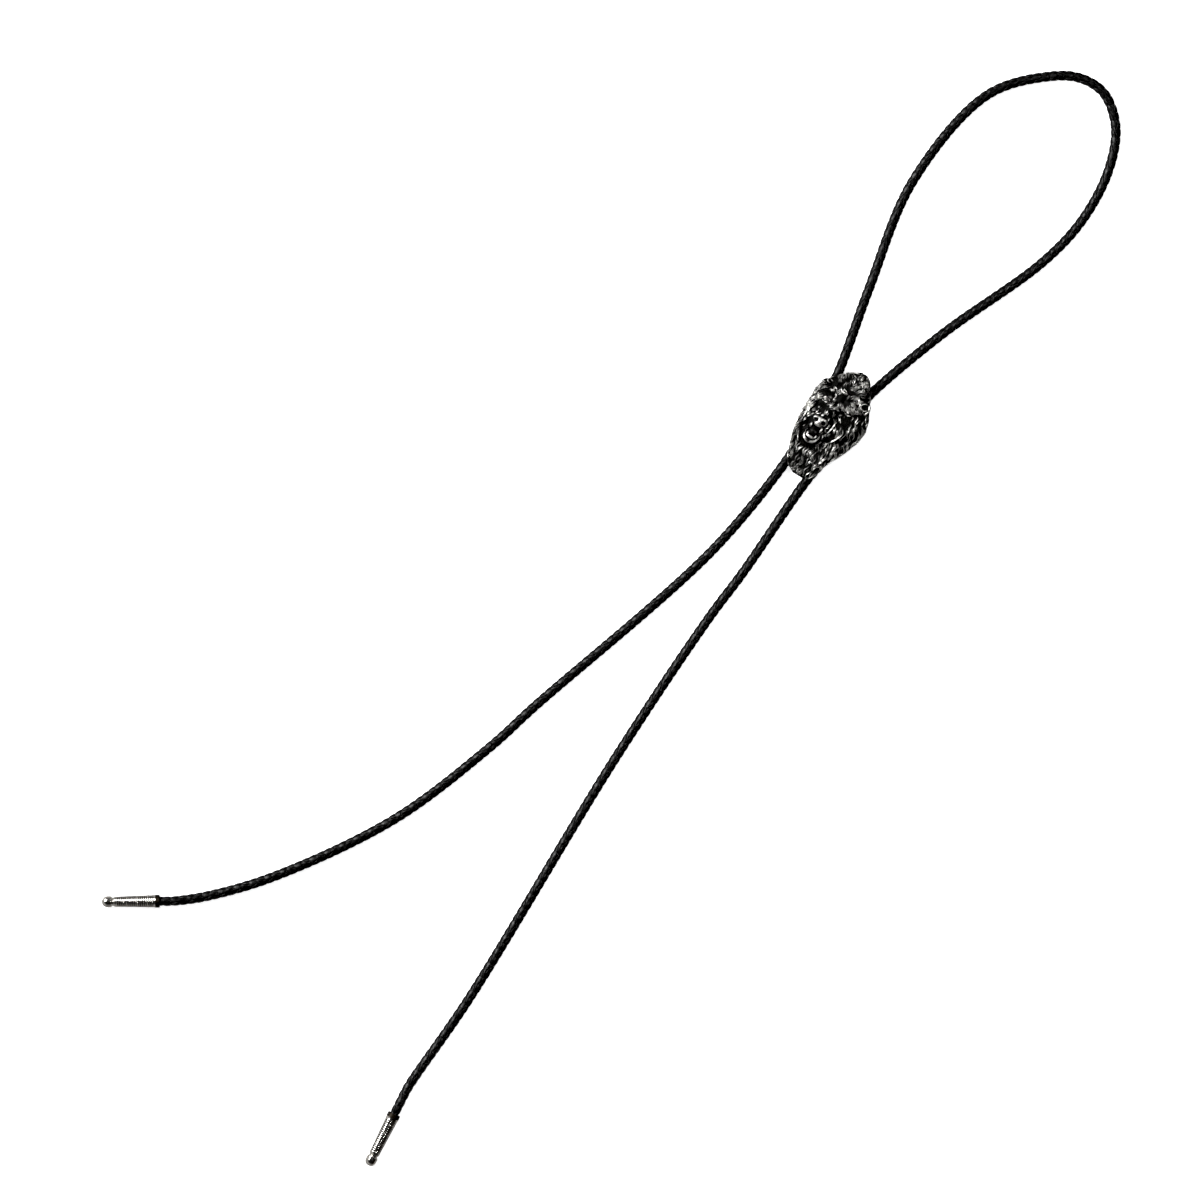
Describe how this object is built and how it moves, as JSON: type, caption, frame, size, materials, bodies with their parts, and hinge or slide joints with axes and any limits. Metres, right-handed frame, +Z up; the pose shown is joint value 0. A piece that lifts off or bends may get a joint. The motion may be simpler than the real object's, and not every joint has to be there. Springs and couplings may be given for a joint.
{
  "type": "bolo tie",
  "caption": "Bolo tie laid flat: a cast bear-head slide clipped on one braided leather cord that loops round the neck and ends in ribbed metal tips.",
  "frame": {"origin": "on the table, under the middle of the slide", "axes": "+Y along the slide towards the top of the bear's head, +X to the viewer's right, +Z up from the table through the bear's face"},
  "size_m": [0.1694, 0.4643, 0.0162],
  "materials": {
    "pewter": "cast pewter, blackened in the hollows and rubbed bright on the high edges",
    "plated_steel": "plain plated sheet",
    "leather": "black braided leather, soft gloss",
    "tip_metal": "bright nickel silver with fine turned rings"
  },
  "bodies": {
    "root": {"slide_casting": "pewter", "back_clip": "plated_steel", "cord": "leather", "tip_left": "tip_metal", "tip_right": "tip_metal"}
  },
  "joints": []
}
